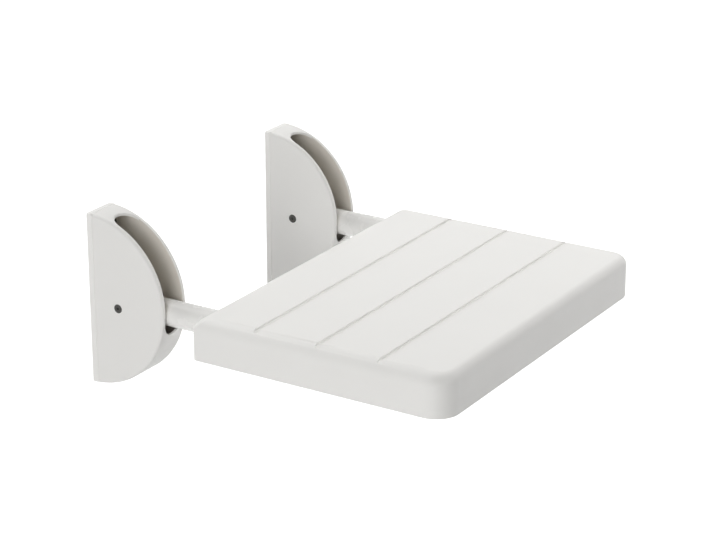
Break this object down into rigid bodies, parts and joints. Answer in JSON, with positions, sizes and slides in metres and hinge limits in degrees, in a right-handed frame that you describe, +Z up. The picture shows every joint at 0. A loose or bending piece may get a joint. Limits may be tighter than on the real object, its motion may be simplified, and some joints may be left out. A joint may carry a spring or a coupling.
{
  "type": "fold down wall seat",
  "caption": "Wall mounted seat that folds up on two D-shaped brackets, with a grooved moulded shell on tube arms.",
  "frame": {"origin": "on the wall plane, at the centre of the four wall screw holes, midway between the two brackets", "axes": "+X along the wall to the right seen from the front, +Y into the wall, so the seat stands out towards -Y, +Z up"},
  "size_m": [0.438, 0.47, 0.202],
  "materials": {
    "wall_plate": "fine matt texture, warm white, soft moulded seal plate",
    "bracket_frame": "dark phosphated pressed steel",
    "cover": "moulded, warm white, semi-gloss",
    "axle": "ground bright steel",
    "axle_screw": "dark oxide finish",
    "friction_washer": "dark glass filled nylon",
    "stop_pad": "black moulded rubber, matt",
    "bush": "natural acetal",
    "hub": "white powder coat over cast steel",
    "arm": "white powder coat, smooth semi-gloss",
    "end_plug": "moulded, white",
    "clamp": "moulded glass filled nylon, white; its screw heads are bright steel",
    "cross_tube": "white powder coat, smooth semi-gloss",
    "seat_shell": "moulded, warm white, semi-gloss"
  },
  "bodies": {
    "wall_brackets": {"left_wall_plate": "wall_plate", "right_wall_plate": "wall_plate", "left_bracket_frame": "bracket_frame", "right_bracket_frame": "bracket_frame", "left_cover": "cover", "right_cover": "cover", "axles": "axle", "axle_screws": "axle_screw", "friction_washers": "friction_washer", "stop_pads": "stop_pad"},
    "seat": {"bushes": "bush", "hubs": "hub", "left_arm": "arm", "right_arm": "arm", "end_plugs": "end_plug", "clamps": "clamp", "rear_cross_tube": "cross_tube", "front_cross_tube": "cross_tube", "seat_shell": "seat_shell"}
  },
  "joints": [
    {"name": "seat_fold", "type": "hinge", "parent": "wall_brackets", "child": "seat", "pos_m": [0, -0.039, -0.0045], "axis": [-1, 0, 0], "range_deg": [0, 88]}
  ]
}
